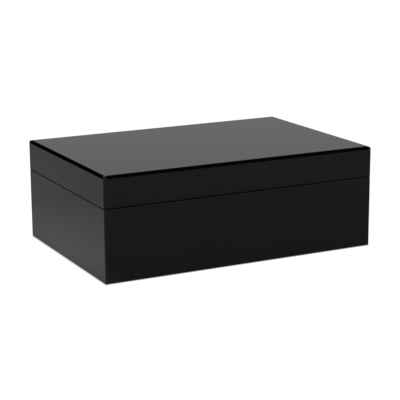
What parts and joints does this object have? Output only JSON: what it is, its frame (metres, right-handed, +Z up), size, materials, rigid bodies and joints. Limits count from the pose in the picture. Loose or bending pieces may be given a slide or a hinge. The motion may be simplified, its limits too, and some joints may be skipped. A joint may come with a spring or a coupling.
{
  "type": "humidor",
  "caption": "Flat rectangular box in black gloss lacquer with a hinged lid, cedar lining, sliding tray and dividers, and a hygrometer and humidifier in the lid.",
  "frame": {"origin": "below the middle of the whole object, hinge knuckles included, on the surface it stands on", "axes": "+X along the front, to the right; +Y from the front to the hinges at the back; +Z up"},
  "size_m": [0.34, 0.233, 0.12],
  "materials": {
    "case_lacquer": "polished black lacquer over fibreboard",
    "lid_lacquer": "polished black lacquer over fibreboard",
    "fibreboard": "bare",
    "felt": "felt",
    "cedar": "sanded and bare",
    "brass": "polished",
    "steel": "zinc plated",
    "magnet": "nickel plated",
    "gauge_metal": "brass coloured, spun and lacquered",
    "dial": "satin white enamel",
    "needle": "black enamel",
    "glass": "clear",
    "black_plastic": "fine moulded texture",
    "foam": "open-cell foam"
  },
  "bodies": {
    "case": {"case_front_panel": "case_lacquer", "case_back_panel": "case_lacquer", "case_left_panel": "case_lacquer", "case_right_panel": "case_lacquer", "case_floor_panel": "fibreboard", "base_felt": "felt", "lining_floor": "cedar", "lining_front": "cedar", "lining_back": "cedar", "lining_left": "cedar", "lining_right": "cedar", "tray_cleat_front": "cedar", "tray_cleat_back": "cedar", "hinge_case_leaves": "brass", "hinge_pins": "brass", "hinge_case_screws": "brass"},
    "lid": {"lid_top_panel": "lid_lacquer", "lid_front_rail": "lid_lacquer", "lid_back_rail": "lid_lacquer", "lid_left_rail": "lid_lacquer", "lid_right_rail": "lid_lacquer", "lid_lining_top": "cedar", "lid_lining_front": "cedar", "lid_lining_back": "cedar", "lid_lining_left": "cedar", "lid_lining_right": "cedar", "hinge_lid_leaves": "brass", "hinge_lid_screws": "brass", "hygrometer_bezel": "brass", "hygrometer_plate": "steel", "humidifier_plates": "steel", "plate_screws": "steel", "hygrometer_magnet": "magnet", "humidifier_magnets": "magnet", "hygrometer_case": "gauge_metal", "hygrometer_dial": "dial", "hygrometer_glass": "glass", "humidifier_tank": "black_plastic", "humidifier_cover": "black_plastic", "humidifier_foam": "foam"},
    "hinge_arms": {"hinge_arms": "brass"},
    "needle": {"hygrometer_needle": "needle", "hygrometer_arbor": "brass"},
    "tray": {"tray_front_board": "cedar", "tray_back_board": "cedar", "tray_left_board": "cedar", "tray_right_board": "cedar", "tray_floor_slats": "cedar"},
    "tray_divider": {"tray_divider": "cedar"},
    "floor_divider": {"floor_divider": "cedar"}
  },
  "joints": [
    {"name": "lid_hinge", "type": "hinge", "parent": "case", "child": "lid", "pos_m": [0, 0.11405, 0.084], "axis": [-1, 0, 0], "range_deg": [0, 95]},
    {"name": "hinge_arm_float", "type": "hinge", "parent": "case", "child": "hinge_arms", "pos_m": [0, 0.11405, 0.084], "axis": [-1, 0, 0], "range_deg": [0, 47.5]},
    {"name": "tray_slide", "type": "slide", "parent": "case", "child": "tray", "axis": [1, 0, 0], "range_m": [0, 0.154]},
    {"name": "tray_divider_slide", "type": "slide", "parent": "tray", "child": "tray_divider", "axis": [1, 0, 0], "range_m": [-0.069, 0.069]},
    {"name": "floor_divider_slide", "type": "slide", "parent": "case", "child": "floor_divider", "axis": [1, 0, 0], "range_m": [-0.183, 0.119]},
    {"name": "needle_turn", "type": "hinge", "parent": "lid", "child": "needle", "pos_m": [-0.078, -0.00155, 0.095], "axis": [0, 0, 1], "range_deg": [-189, 81]}
  ],
  "couplings": [
    {"joint": "hinge_arm_float", "follows": "lid_hinge", "ratio": 0.5}
  ]
}
